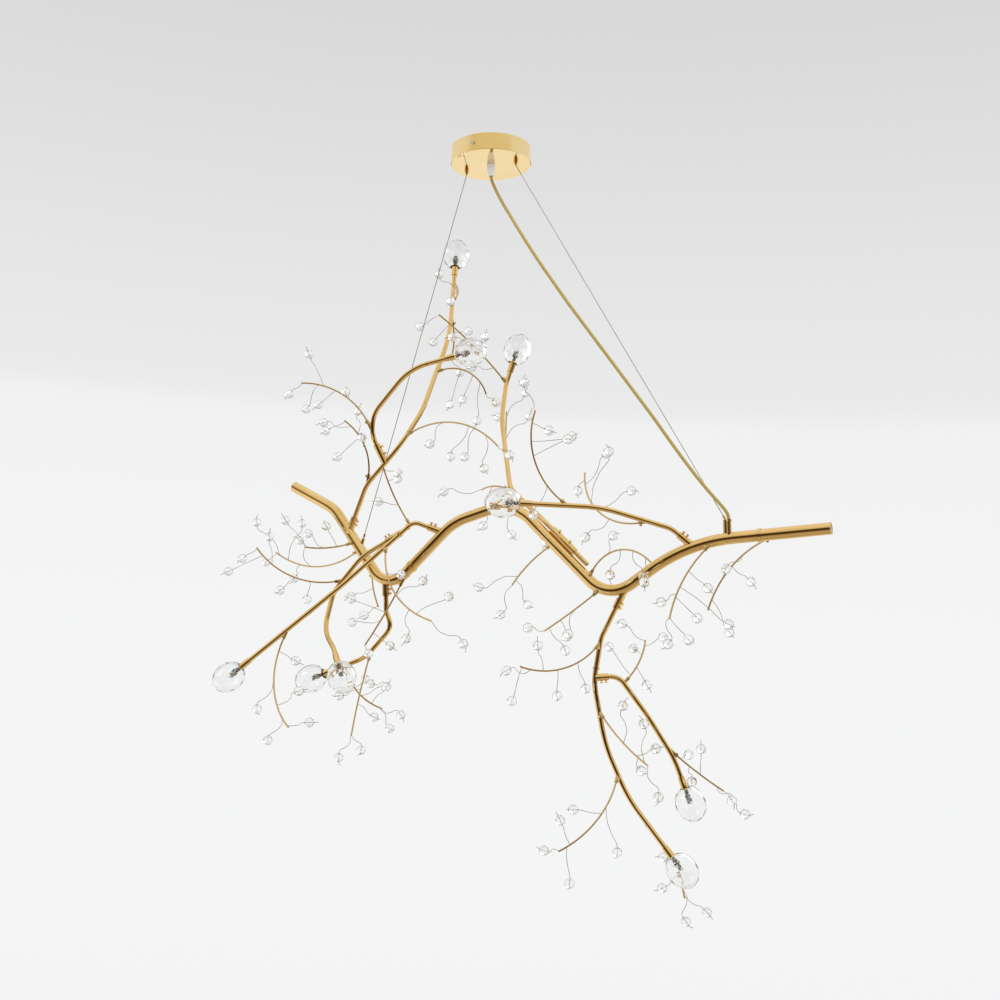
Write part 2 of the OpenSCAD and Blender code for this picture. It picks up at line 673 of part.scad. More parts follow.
module arm_tube(i)
    color(gold) {
        hollow_tube(ARMS[i], arm_tube_d, arm_wall, is_beside(SLEEVES[i]) ? 0 : SLEEVES[i][4]);
        cup(ARMS[i]);
        for (pair = BRANCHED)
            if (pair[0] == i) {
                sleeve(SLEEVES[pair[1]]);
                clamp_screws(SLEEVES[pair[1]]);
            }
        for (band = BANDS)
            if (band[0] == i)
                collar(ARMS[i], band[1], arm_tube_d, 0.8, 3);
    }

module arm_piece(i, piece) {
    if (piece == "tube") arm_tube(i);
    if (piece == "lamp") lamp(ARMS[i]);
    if (piece == "glass") glass(ARMS[i]);
    if (piece == "twigs") twigs(ARMS[i], arm_tube_d, ARM_TWIGS[i]);
    if (piece == "beads") beads(ARMS[i], arm_tube_d, ARM_TWIGS[i]);
}

// ---- suspension -------------------------------------------------------------------------
// Feet of the two cables on the trunk's centre line
left_foot = on_tube(trunk, 164);
right_foot = on_tube(trunk, 843);
left_grip = [-gripper_spacing / 2, 0, hinge_z];
right_grip = [gripper_spacing / 2, 0, hinge_z];
left_way = unit(left_foot[0] - left_grip);
post_top = right_foot[0] + [0, 0, trunk_r + post_h];
right_way = unit(post_top - right_grip);
nipple_l = 9;           // reach of the left nipple from the trunk's centre line
nipple_top = left_foot[0] - left_way * (trunk_r + nipple_l);
ferrule_l = 6;
ferrule_d = cable_d + 2.2;

module cable(grip, end)
    color(steel)
        bar(grip + unit(end - grip) * hang_gap, end - unit(end - grip) * 2, cable_d);
module left_cable()
    cable(left_grip, nipple_top);
module right_cable()
    cable(right_grip, post_top);

// A crimped ferrule round a cable's last stretch, seated on its nipple or post
module ferrule(end, way)
    difference() {
        bar(end - way * (ferrule_l + 1), end - way, ferrule_d);
        bar(end - way * (ferrule_l + 2), end - way * 1.8, cable_d + 2 * turn_gap);
    }

cord_end = CORD_POINTS[len(CORD_POINTS) - 1];
cord_way = unit(cord_end - CORD_POINTS[len(CORD_POINTS) - 2]);
cord_tube_d = cord_d + 1.6;
module cable_anchors()
    color(gold) {
        difference() {
            bar(left_foot[0], nipple_top, 5);
            bar(left_foot[0] - left_foot[1] * 20, left_foot[0] + left_foot[1] * 20,
                trunk_d + 2 * seat_gap);
        }
        difference() {
            bar(right_foot[0], post_top, post_d);
            bar(right_foot[0] - right_foot[1] * 20, right_foot[0] + right_foot[1] * 20,
                trunk_d + 2 * seat_gap);
        }
        difference() {
            union() {
                bar([cord_end[0], cord_end[1], right_foot[0][2]], cord_end - [0, 0, 0.2],
                    cord_tube_d);
                translate(cord_end - [0, 0, 3.2])
                    cylinder(h = 3, d1 = cord_tube_d - 0.2, d2 = cord_tube_d + 1.6);
            }
            bar(right_foot[0] - right_foot[1] * 20, right_foot[0] + right_foot[1] * 20,
                trunk_d + 2 * seat_gap);
            bar(right_foot[0] - [0, 0, 5], post_top + [0, 0, 5], post_d + 2 * seat_gap);
        }
        ferrule(nipple_top, left_way);
        ferrule(post_top, right_way);
    }

module power_cord()
    color(gold)
        cord_sweep(CORD_POINTS, cord_d, cord_sides);

// Rings along smooth curves through the cord's points
function curve_point(p, i, t) =
    let (
        a = p[max(i - 1, 0)],
        b = p[i],
        c = p[i + 1],
        d = p[min(i + 2, len(p) - 1)])
    0.5 * (2 * b + (c - a) * t + (2 * a - 5 * b + 4 * c - d) * t * t
        + (3 * b - a - 3 * c + d) * t * t * t);
module cord_sweep(p, d, sides) {
    centres = concat(
        [for (i = [0:len(p) - 2]) for (t = [0, 0.5]) curve_point(p, i, t)], [p[len(p) - 1]]);
    last = len(centres) - 1;
    ways = [for (i = [0:last]) unit(centres[min(i + 1, last)] - centres[max(i - 1, 0)])];
    polyhedron(
        points = [for (i = [0:last])
            let (
                way = i == 0 || i == last ? [0, 0, -1] : ways[i],
                x = square_to([0, 1, 0], way))
            each ring(centres[i], x, cross(way, x), d / 2, sides)],
        faces = tube_faces(last + 1, sides),
        convexity = 6);
}

// ---- canopy -----------------------------------------------------------------------------
screw_z = -canopy_h / 2;
// The bar's square ends clear the canopy's wall at their corners
tab_y = sqrt(pow(canopy_r - canopy_wall - 0.3, 2) - pow(bracket_w / 2, 2));
grip_thread_d = 8;
gripper_thread_d = 6;

module canopy_shell()
    color(gold)
        difference() {
            rotate_extrude()
                polygon([
                    [0, -canopy_h], [canopy_r - canopy_edge, -canopy_h],
                    [canopy_r, -canopy_h + canopy_edge], [canopy_r, 0],
                    [canopy_r - canopy_wall, 0], [canopy_r - canopy_wall, -canopy_h + canopy_wall],
                    [0, -canopy_h + canopy_wall]]);
            translate([0, 0, -canopy_h - 1])
                cylinder(h = 4, d = grip_thread_d + 0.2);
            for (x = [-1, 1])
                translate([x * gripper_spacing / 2, 0, -canopy_h - 1])
                    cylinder(h = 4, d = gripper_thread_d + 0.2);
            translate([0, 0, screw_z])
                rotate([90, 0, 0])
                    cylinder(h = canopy_d + 2, d = side_screw_d + 0.4, center = true);
        }

// Bar with two slots for the ceiling screws and two bent tabs for the side screws
module ceiling_bracket()
    color(steel)
        difference() {
            union() {
                translate([-bracket_w / 2, -tab_y, -bracket_t])
                    cube([bracket_w, 2 * tab_y, bracket_t]);
                for (y = [-tab_y, tab_y - bracket_t])
                    translate([-6, y, screw_z - 5])
                        cube([12, bracket_t, -screw_z + 5]);
            }
            for (y = [-1, 1]) {
                for (end = [-1, 1])
                    translate([0, (y * slot_spacing + end * (slot_l - slot_w)) / 2, -bracket_t - 1])
                        cylinder(h = bracket_t + 2, d = slot_w);
                translate([-slot_w / 2, (y * slot_spacing - slot_l + slot_w) / 2, -bracket_t - 1])
                    cube([slot_w, slot_l - slot_w, bracket_t + 2]);
            }
            translate([0, 0, -bracket_t - 1])
                cylinder(h = bracket_t + 2, d = 12);
            translate([0, 0, screw_z])
                rotate([90, 0, 0])
                    cylinder(h = canopy_d, d = side_screw_d + 0.1, center = true);
        }

module canopy_screws()
    color(steel)
        for (turn = [0, 180])
            rotate([0, 0, turn])
                translate([0, -canopy_r - seat_gap, screw_z])
                    rotate([90, 0, 0]) {
                        cylinder(h = 2.2, d1 = side_screw_d + 3, d2 = side_screw_d + 1.4);
                        translate([0, 0, -8])
                            cylinder(h = 8, d = side_screw_d);
                    }

// Driver on the canopy's floor, with a terminal block at each end
module lamp_driver()
    color("whitesmoke") {
        low = -canopy_h + canopy_wall + seat_gap;
        translate([-driver_l / 2 + 9, 12, low])
            cube([driver_l - 18, driver_w, driver_h]);
        for (x = [-driver_l / 2, driver_l / 2 - 9 + seat_gap])
            translate([x, 16, low])
                cube([9 - seat_gap, driver_w - 8, driver_h - 4]);
    }

module cord_grip()
    color(white_nylon)
        difference() {
            rotate_extrude()
                polygon([
                    [cord_d / 2 + 0.4, -canopy_h - grip_l], [grip_d / 2 - 2, -canopy_h - grip_l],
                    [grip_d / 2, -canopy_h - 5], [grip_d / 2, -canopy_h - seat_gap],
                    [grip_thread_d / 2, -canopy_h - seat_gap],
                    [grip_thread_d / 2, -canopy_h + canopy_wall + seat_gap],
                    [grip_d / 2 + 1, -canopy_h + canopy_wall + seat_gap],
                    [grip_d / 2 + 1, -canopy_h + canopy_wall + 4],
                    [cord_d / 2 + 0.4, -canopy_h + canopy_wall + 4]]);
        }

module cable_grippers()
    color(gold)
        for (x = [-1, 1])
            translate([x * gripper_spacing / 2, 0, 0])
                rotate_extrude()
                    polygon([
                        [cable_d / 2 + 0.3, hinge_z], [gripper_d / 2 - 1.6, hinge_z],
                        [gripper_d / 2 - 1.4, hinge_z + 3], [gripper_d / 2, hinge_z + 3],
                        [gripper_d / 2, -canopy_h - seat_gap],
                        [gripper_thread_d / 2, -canopy_h - seat_gap],
                        [gripper_thread_d / 2, -canopy_h + canopy_wall + seat_gap],
                        [gripper_d / 2 + 1.5, -canopy_h + canopy_wall + seat_gap],
                        [gripper_d / 2 + 1.5, -canopy_h + canopy_wall + 3.5],
                        [cable_d / 2 + 0.3, -canopy_h + canopy_wall + 3.5]]);

canopy_shell();
ceiling_bracket();
canopy_screws();
lamp_driver();
cord_grip();
cable_grippers();
left_cable();
right_cable();
power_cord();
cable_anchors();
trunk_tube();
trunk_end_plugs();
trunk_sleeves();
trunk_twigs();
trunk_beads();
for (i = [0:len(LETTERS) - 1])
    for (piece = PIECES)
        arm_piece(i, piece);
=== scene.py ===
import math

import bmesh
import bpy
from mathutils import Matrix, Vector


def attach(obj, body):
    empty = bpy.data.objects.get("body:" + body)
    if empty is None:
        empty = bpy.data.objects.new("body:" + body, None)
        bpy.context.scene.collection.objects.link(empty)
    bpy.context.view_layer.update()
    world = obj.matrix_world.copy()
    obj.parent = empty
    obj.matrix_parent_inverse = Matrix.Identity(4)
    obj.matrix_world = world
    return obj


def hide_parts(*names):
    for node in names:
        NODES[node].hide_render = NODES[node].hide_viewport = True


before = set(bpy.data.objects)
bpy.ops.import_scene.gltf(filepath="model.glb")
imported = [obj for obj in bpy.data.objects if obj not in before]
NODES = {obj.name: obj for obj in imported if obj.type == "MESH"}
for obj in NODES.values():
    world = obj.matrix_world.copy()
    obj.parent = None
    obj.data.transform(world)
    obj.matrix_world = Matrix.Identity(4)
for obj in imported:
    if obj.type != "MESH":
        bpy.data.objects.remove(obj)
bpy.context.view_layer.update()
LETTERS = "abcdefghi"
MM = 0.001

# ---- camera ---------------------------------------------------------------------------------
# Found from the photo: where it stands, which way it looks, and its lens in mm on 36 mm
CAMERA_AT = (0.8336, -1.7086, -0.823)
CAMERA_WAY = (-0.4272, 0.8915, 0.1506)
CAMERA_LENS = 47.988

camera = bpy.data.objects.new("camera", bpy.data.cameras.new("camera"))
bpy.context.scene.collection.objects.link(camera)
camera.location = CAMERA_AT
camera.rotation_mode = "QUATERNION"
camera.rotation_quaternion = Vector(CAMERA_WAY).to_track_quat("-Z", "Y")
camera.data.sensor_width = 36
camera.data.lens = CAMERA_LENS
camera.data.clip_start, camera.data.clip_end = 0.01, 100
bpy.context.scene.camera = camera
bpy.context.scene.view_settings.view_transform = "Standard"


# ---- materials ------------------------------------------------------------------------------
def material(name):
    """A new node material: (material, nodes, links, its Principled shader)."""
    m = bpy.data.materials.new(name)
    m.use_nodes = True
    return m, m.node_tree.nodes, m.node_tree.links, m.node_tree.nodes["Principled BSDF"]


def noise(nodes, links, scale, detail=3.0, stretch=(1, 1, 1)):
    """Noise in the row frame: its factor socket."""
    place = nodes.new("ShaderNodeTexCoord")
    turn = nodes.new("ShaderNodeMapping")
    turn.inputs["Scale"].default_value = stretch
    links.new(place.outputs["Object"], turn.inputs["Vector"])
    n = nodes.new("ShaderNodeTexNoise")
    n.inputs["Scale"].default_value = scale
    n.inputs["Detail"].default_value = detail
    links.new(turn.outputs["Vector"], n.inputs["Vector"])
    return n.outputs["Fac"]


def spread(nodes, links, fac, low, high, start=0.3, end=0.7):
    """fac brought from start..end to low..high."""
    r = nodes.new("ShaderNodeMapRange")
    r.inputs["From Min"].default_value = start
    r.inputs["From Max"].default_value = end
    r.inputs["To Min"].default_value = low
    r.inputs["To Max"].default_value = high
    links.new(fac, r.inputs["Value"])
    return r.outputs["Result"]


def tint(nodes, links, fac, a, b, start=0.3, end=0.7):
    """Colour from a to b with fac."""
    ramp = nodes.new("ShaderNodeValToRGB")
    ramp.color_ramp.elements[0].position = start
    ramp.color_ramp.elements[1].position = end
    ramp.color_ramp.elements[0].color = (*a, 1)
    ramp.color_ramp.elements[1].color = (*b, 1)
    links.new(fac, ramp.inputs["Fac"])
    return ramp.outputs["Color"]


def bump(nodes, links, shader, fac, strength, distance):
    """Fine relief from fac: distance is its height in metres."""
    b = nodes.new("ShaderNodeBump")
    b.inputs["Strength"].default_value = strength
    b.inputs["Distance"].default_value = distance
    links.new(fac, b.inputs["Height"])
    links.new(b.outputs["Normal"], shader.inputs["Normal"])


def metal(name, a, b, rough, wave=0.03, scratch=900):
    """Polished or satin metal: cloudy tint, roughness that drifts, and fine polishing marks."""
    m, nodes, links, shader = material(name)
    shader.inputs["Metallic"].default_value = 1.0
    slow = noise(nodes, links, 14)
    fast = noise(nodes, links, scratch, 4, (1, 1, 0.2))
    links.new(tint(nodes, links, slow, a, b), shader.inputs["Base Color"])
    links.new(spread(nodes, links, fast, rough[0], rough[1]), shader.inputs["Roughness"])
    bump(nodes, links, shader, fast, wave, 0.0002)
    return m


def clear(name, tone, rough, ior, scale, wave):
    """Clear glass with a faint tint and slight waves."""
    m, nodes, links, shader = material(name)
    shader.inputs["Transmission Weight"].default_value = 1.0
    shader.inputs["IOR"].default_value = ior
    cloud = noise(nodes, links, scale)
    links.new(tint(nodes, links, cloud, tone, (1, 1, 1)), shader.inputs["Base Color"])
    links.new(spread(nodes, links, cloud, rough[0], rough[1]), shader.inputs["Roughness"])
    bump(nodes, links, shader, cloud, wave, 0.0005)
    return m


GOLD = metal("gold_tube", (0.86, 0.60, 0.25), (0.92, 0.66, 0.31), (0.07, 0.13), 0.015)
GOLD_ROD = metal("gold_rod", (0.62, 0.46, 0.23), (0.76, 0.57, 0.30), (0.10, 0.2), 0.02)
GOLD_CANOPY = metal("gold_canopy", (0.93, 0.73, 0.38), (0.96, 0.78, 0.45), (0.04, 0.09), 0.01)
GOLD_SCREW = metal("gold_screw", (0.84, 0.58, 0.22), (0.90, 0.65, 0.29), (0.12, 0.2), 0.04)
CHROME = metal("chrome", (0.66, 0.67, 0.70), (0.80, 0.81, 0.83), (0.05, 0.1), 0.01)
STEEL = metal("steel_cable", (0.52, 0.53, 0.55), (0.66, 0.67, 0.69), (0.25, 0.4), 0.3, 2500)
SHEET = metal("zinc_sheet", (0.60, 0.61, 0.62), (0.72, 0.73, 0.74), (0.3, 0.45), 0.08, 300)
WIRE = metal("pale_gold_wire", (0.44, 0.40, 0.33), (0.58, 0.54, 0.46), (0.2, 0.32), 0.05, 2000)
DARK_PIN = metal("dark_pin", (0.05, 0.04, 0.025), (0.16, 0.12, 0.07), (0.25, 0.4), 0.1, 2000)
CRYSTAL = clear("bead_crystal", (0.97, 0.985, 0.99), (0.0, 0.012), 1.47, 300, 0.02)
GLOBE = clear("globe_glass", (0.965, 0.975, 0.975), (0.0, 0.01), 1.47, 90, 0.06)
QUARTZ = clear("bulb_quartz", (0.98, 0.985, 0.985), (0.02, 0.08), 1.46, 500, 0.1)


def matt(name, scale, detail, a, b, rough, wave):
    """Matt or satin material with a fine grain."""
    m, nodes, links, shader = material(name)
    grain = noise(nodes, links, scale, detail)
    links.new(tint(nodes, links, grain, a, b), shader.inputs["Base Color"])
    links.new(spread(nodes, links, grain, rough[0], rough[1]), shader.inputs["Roughness"])
    bump(nodes, links, shader, grain, wave, 0.0002)
    return m


CERAMIC = matt("white_ceramic", 900, 5, (0.62, 0.60, 0.56), (0.80, 0.79, 0.76), (0.35, 0.55), 0.15)
NYLON = matt("white_nylon", 240, 3, (0.86, 0.86, 0.86), (0.93, 0.93, 0.93), (0.25, 0.4), 0.05)
CASE = matt("driver_case", 700, 5, (0.80, 0.80, 0.78), (0.88, 0.88, 0.86), (0.5, 0.65), 0.2)
BRAID = matt("gold_cord", 1400, 4, (0.50, 0.36, 0.09), (0.74, 0.58, 0.20), (0.28, 0.42), 0.2)

# The braid's gold yarn lies in a clear sheath
sheath = BRAID.node_tree.nodes["Principled BSDF"]
sheath.inputs["Metallic"].default_value = 0.55
sheath.inputs["Coat Weight"].default_value = 0.6
sheath.inputs["Coat Roughness"].default_value = 0.12


# ---- mesh tools -----------------------------------------------------------------------------
def add(name, verts, faces, mat, body, nodes, slot, smooth=True):
    """A mesh piece that rides on body and stands for nodes."""
    mesh = bpy.data.meshes.new(name)
    mesh.from_pydata([tuple(v) for v in verts], [], faces)
    mesh.update()
    for p in mesh.polygons:
        p.use_smooth = smooth
    mesh.materials.append(mat)
    obj = bpy.data.objects.new(name, mesh)
    bpy.context.scene.collection.objects.link(obj)
    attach(obj, body)
    if nodes:
        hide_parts(*nodes)
    return obj


def outward(obj):
    """Faces of each closed shell turned outward together."""
    bm = bmesh.new()
    bm.from_mesh(obj.data)
    bmesh.ops.recalc_face_normals(bm, faces=bm.faces)
    bm.to_mesh(obj.data)
    bm.free()
    return obj


def tube(path, radius, sides=8, verts=None, faces=None):
    """Tube along a path, closed at both ends. radius is a number, or a function of the
    point's number and the angle round the tube."""
    verts = [] if verts is None else verts
    faces = [] if faces is None else faces
    base = len(verts)
    last = len(path) - 1
    ways = [(path[min(i + 1, last)] - path[max(i - 1, 0)]).normalized() for i in range(last + 1)]
    x = ways[0].orthogonal().normalized()
    for i, p in enumerate(path):
        x = (x - x.dot(ways[i]) * ways[i]).normalized()
        y = ways[i].cross(x)
        for k in range(sides):
            t = 2 * math.pi * k / sides
            r = radius(i, t) if callable(radius) else radius
            verts.append(p + r * (math.cos(t) * x + math.sin(t) * y))
    for i in range(last):
        for k in range(sides):
            a, b = base + i * sides + k, base + i * sides + (k + 1) % sides
            faces.append((a, b, b + sides, a + sides))
    faces.append(tuple(base + k for k in reversed(range(sides))))
    faces.append(tuple(base + last * sides + k for k in range(sides)))
    return verts, faces


def turned(profile, place, sides=32, verts=None, faces=None):
    """A closed profile of (radius, height) turned about the z axis of place, in mm."""
    verts = [] if verts is None else verts
    faces = [] if faces is None else faces
    rings = []
    for r, z in profile:
        if r < 1e-6:
            rings.append([len(verts)])
            verts.append(place @ Vector((0, 0, z * MM)))
            continue
        rings.append(list(range(len(verts), len(verts) + sides)))
        for k in range(sides):
            t = 2 * math.pi * k / sides
            verts.append(place @ (Vector((r * math.cos(t), r * math.sin(t), z)) * MM))
    for a, b in zip(rings, rings[1:]):
        for k in range(sides):
            j = (k + 1) % sides
            quad = [a[k % len(a)], a[j % len(a)], b[j % len(b)], b[k % len(b)]]
            corner = [v for i, v in enumerate(quad) if v != quad[i - 1]]
            if len(corner) > 2:
                faces.append(tuple(corner))
    return verts, faces


def placed(origin, way):
    """Matrix with its z axis along way."""
    return Matrix.Translation(origin) @ way.to_track_quat("Z", "Y").to_matrix().to_4x4()


def islands(node):
    """The welded solids of a CAD node: [(points, edges as pairs of their numbers)]."""
    bm = bmesh.new()
    bm.from_mesh(NODES[node].data)
    bmesh.ops.remove_doubles(bm, verts=bm.verts, dist=2e-6)
    bm.verts.index_update()
    seen, found = set(), []
    for v in bm.verts:
        if v.index in seen:
            continue
        group, todo = [], [v]
        seen.add(v.index)
        while todo:
            u = todo.pop()
            group.append(u)
            for e in u.link_edges:
                w = e.other_vert(u)
                if w.index not in seen:
                    seen.add(w.index)
                    todo.append(w)
        number = {u.index: i for i, u in enumerate(group)}
        pairs = {tuple(sorted((number[u.index], number[e.other_vert(u).index])))
                 for u in group for e in u.link_edges}
        found.append(([u.co.copy() for u in group], pairs))
    bm.free()
    return found


def middle(points):
    """The mean of some points."""
    return sum(points, Vector()) / len(points)


def spline(points, steps):
    """Catmull-Rom through the points, the formula of part.scad's curve_point."""
    line = []
    for i in range(len(points) - 1):
        a, b = points[max(i - 1, 0)], points[i]
        c, d = points[i + 1], points[min(i + 2, len(points) - 1)]
        for s in range(steps):
            t = s / steps
            line.append(0.5 * (2 * b + (c - a) * t + (2 * a - 5 * b + 4 * c - d) * t * t
                               + (3 * b - a - 3 * c + d) * t ** 3))
    return line + [points[-1]]


# ---- power cord and steel cables ------------------------------------------------------------
CORD_POINTS = [
    (0, 0, -44), (2, 0, -52), (8, 0, -66), (18, 0, -86), (32, -1, -110), (48, -3, -137),
    (65, -4, -165), (84, -5, -195), (104, -6, -225), (124, -7, -255), (145, -8, -285),
    (166, -8, -315), (187, -8, -345), (208, -8, -375), (229, -8, -405), (250, -8, -435),
    (270, -8, -465), (289, -8, -493), (306, -8, -517), (321, -8, -537), (333, -7, -552),
    (342, -6, -563), (348, -5, -571), (351, -4, -577), (352, -4, -583)]
CORD_D = 4.8 * MM
# The braid: yarns each way, the cord's length for one turn of a yarn, and its ridges, in mm
YARNS, YARN_PITCH, RIDGE = 8, 26, 0.09
CORD_SIDES, CORD_STEPS = 32, 36
CABLE_R = 0.6
CABLE_PARTS = 12


def power_cord():
    """A sheath over a braid of 16 yarns: the tube's skin carries the crossing ridges."""
    path = spline([Vector(p) * MM for p in CORD_POINTS], CORD_STEPS)
    turn = 2 * math.pi / (YARN_PITCH * MM)
    runs = [0.0]
    for a, b in zip(path, path[1:]):
        runs.append(runs[-1] + (b - a).length)

    def skin(i, t):
        ridge = math.sin(YARNS * (t + turn * runs[i])) * math.sin(YARNS * (t - turn * runs[i]))
        return CORD_D / 2 - RIDGE * MM + RIDGE * MM * ridge

    verts, faces = tube(path, skin, CORD_SIDES)
    obj = add("power_cord_braid", verts, faces, BRAID, "branch", ["power_cord"], "gold_cord")


def steel_cable(node):
    """A taut cable, as one open spline with its own thickness."""
    points, _ = islands(node)[0]
    low = min(points, key=lambda p: p.z)
    high = max(points, key=lambda p: p.z)
    top, foot = [], []
    for p in points:
        (foot if (p - low).length < (p - high).length else top).append(p)
    a, b = middle(top), middle(foot)
    curve = bpy.data.curves.new(node + "_line", "CURVE")
    curve.dimensions = "3D"
    line = curve.splines.new("POLY")
    line.points.add(CABLE_PARTS)
    for i in range(CABLE_PARTS + 1):
        line.points[i].co = (*(a + (b - a) * i / CABLE_PARTS), 1)
    curve.bevel_depth = CABLE_R * MM
    curve.bevel_resolution = 3
    curve.use_fill_caps = True
    curve.materials.append(STEEL)
    obj = bpy.data.objects.new(node + "_rope", curve)
    bpy.context.scene.collection.objects.link(obj)
    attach(obj, "branch")
    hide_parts(node)


power_cord()
steel_cable("left_cable")
steel_cable("right_cable")


# ---- beads on kinked wires ------------------------------------------------------------------
# Sizes in mm
BEAD_R, BEAD_HOLE_R = 6.97, 0.8
WIRE_R, WIRE_SIDES = 0.42, 8
WIRE_BEND, WIRE_BEND_STEPS = 5, 6
WIRE_SEAT = 1.0
# A CAD wire's ring of corners lies within this
RING_REACH = 1.5
# A CAD wire has no more corners than this, and a CAD bead has more
WIRE_CORNERS = 40
# Points of a bead's rings, and how many degrees from its drilled axis its middle rings lie
FACETS = 10
CUTS = (32, 61, 90, 119, 148)


def wire_line(points, edges):
    """The middles of a CAD wire's square rings, in order along it."""
    rings = []
    for i, p in enumerate(points):
        for ring in rings:
            if any((points[j] - p).length < RING_REACH * MM for j in ring):
                ring.append(i)
                break
        else:
            rings.append([i])
    owner = {i: n for n, ring in enumerate(rings) for i in ring}
    joined = {n: set() for n in range(len(rings))}
    for a, b in edges:
        if owner[a] != owner[b]:
            joined[owner[a]].add(owner[b])
            joined[owner[b]].add(owner[a])
    ends = [n for n in joined if len(joined[n]) == 1]
    order = [ends[0]]
    while len(order) < len(rings):
        order.append(next(n for n in joined[order[-1]] if n not in order))
    return [middle([points[i] for i in rings[n]]) for n in order]


def soft_bends(points, cut, steps):
    """A polyline whose corners are rounded off."""
    line = [points[0]]
    for i in range(1, len(points) - 1):
        a, b, c = points[i - 1], points[i], points[i + 1]
        p = b + (a - b) * min(0.5, cut / (a - b).length)
        q = b + (c - b) * min(0.5, cut / (c - b).length)
        line += [p * (1 - t) ** 2 + b * 2 * t * (1 - t) + q * t * t
                 for t in (s / steps for s in range(steps + 1))]
    return line + [points[-1]]


def crystal(centre, way, radius, spin, verts, faces):
    """A round bead cut in flat triangles, drilled through."""
    n = FACETS
    hole = math.degrees(math.asin(BEAD_HOLE_R * MM / radius))
    place = placed(centre, way)
    base = len(verts)
    angles = [hole, *CUTS, 180 - hole]
    for ring, angle in enumerate(angles):
        lift = math.radians(angle)
        for k in range(n):
            t = 2 * math.pi * (k + 0.5 * ring + spin) / n
            verts.append(place @ (radius * Vector((
                math.sin(lift) * math.cos(t), math.sin(lift) * math.sin(t), math.cos(lift)))))
    for ring in range(len(angles) - 1):
        for k in range(n):
            a, b = base + ring * n + k, base + ring * n + (k + 1) % n
            faces.append((a, a + n, b))
            faces.append((b, a + n, b + n))
    top, low = base, base + (len(angles) - 1) * n
    shift = (len(angles) - 1) // 2
    for k in range(n):
        j = (k + 1) % n
        faces.append((top + k, top + j, low + (j - shift) % n, low + (k - shift) % n))


def dress_beads(node, body):
    """Crystals and round wires in the place of a node's CAD beads and square wires."""
    glass, wires = ([], []), ([], [])
    solids = islands(node)
    lines = [wire_line(*s) for s in solids if len(s[0]) <= WIRE_CORNERS]
    balls = []
    for points, _ in solids:
        if len(points) > WIRE_CORNERS:
            low = Vector(min(p[i] for p in points) for i in range(3))
            high = Vector(max(p[i] for p in points) for i in range(3))
            balls.append((low + high) / 2)
    for i, line in enumerate(lines):
        centre = min(balls, key=lambda b: min((b - line[k]).length for k in (1, -2)))
        if (line[0] - centre).length < (line[-1] - centre).length:
            line.reverse()
        # the bead sits on the wire's fourth stretch
        way = (line[4] - line[3]).normalized()
        centre = line[3] + way * (centre - line[3]).dot(way)
        crystal(centre, way, BEAD_R * MM, 0.3 * i, *glass)
        foot = line[0] + (line[0] - line[1]).normalized() * WIRE_SEAT * MM
        path = soft_bends([foot, *line], WIRE_BEND * MM, WIRE_BEND_STEPS)
        path = [p for k, p in enumerate(path) if k == 0 or (p - path[k - 1]).length > 1e-6]
        tube(path, WIRE_R * MM, WIRE_SIDES, *wires)
    crystals = add(node.replace("beads", "crystals"), *glass, CRYSTAL, body, [node],
                   "bead_glass", smooth=False)
    outward(crystals)
    outward(add(node.replace("beads", "bead_wires"), *wires, WIRE, body, [node], "gold"))


dress_beads("trunk_beads", "branch")
for letter in LETTERS:
    dress_beads("arm_%s_beads" % letter, "arm_" + letter)


# ---- lamps ----------------------------------------------------------------------------------
# Sizes in mm, measured along the lamp from the end of the arm's tube
CUP_L, NECK_R = 13.0, 5.35
GLASS_R, GLASS_A, GLASS_WALL = 21.0, 25.0, 2.4
GLASS_SIDES, GLASS_RINGS = 96, 60
# The glass's dimples: how many, how deep, and how many degrees each reaches
DIMPLES, DENT, DENT_REACH = 40, 0.45, 19
# Turn between one dimple and the next, so that they spread evenly
GOLDEN_TURN = 2.39996
# How far the CAD holder's middle lies out from the tube's end
HOLDER_OUT = CUP_L - 4 + 0.15
# Profiles as (radius, height)
HOLDER = [
    (0, 5.15), (3.6, 5.15), (3.64, 5.4), (3.64, 9.0), (3.2, 9.3), (3.2, 9.8), (3.64, 10.1),
    (3.64, 12.7), (3.4, 13.05), (2.7, 13.12), (2.6, 12.6), (0, 12.6)]
ENVELOPE_FOOT = [(0, 13.4), (2.5, 13.4), (2.7, 13.8), (2.7, 18.0), (3.0, 19.2), (4.25, 21.2)]
ENVELOPE_R, ENVELOPE_IN_R, DOME_Z = 4.25, 3.75, 29.0
# Pins and stays as (distance to the side, height), and the pinched foil as (from, to, radius)
PIN, PIN_R = [(1.3, 12.9), (1.3, 16.2), (1.2, 20.8), (1.7, 23.4)], 0.42
STAY, STAY_R = [(1.6, 21.2), (1.9, 24.0), (1.4, 27.2)], 0.5
FOIL = ((13.7, 14.5, 1.9), (15.2, 15.9, 2.05), (16.7, 19.4, 2.2))
COIL_R, COIL_WIRE_R, COIL_FOOT, COIL_PITCH, COIL_TURNS, COIL_STEPS = 1.5, 0.26, 26.6, 0.75, 4, 14


def lamp_place(letter):
    """Where the arm's tube ends, with z out through the lamp."""
    glass = middle(islands("arm_%s_glass" % letter)[0][0])
    centres = [middle(points) for points, _ in islands("arm_%s_lamp" % letter)]
    holder = max(centres, key=lambda c: (c - glass).length)
    capsule = min(centres, key=lambda c: (c - glass).length)
    way = (capsule - holder).normalized()
    return placed(holder - way * HOLDER_OUT * MM, way)


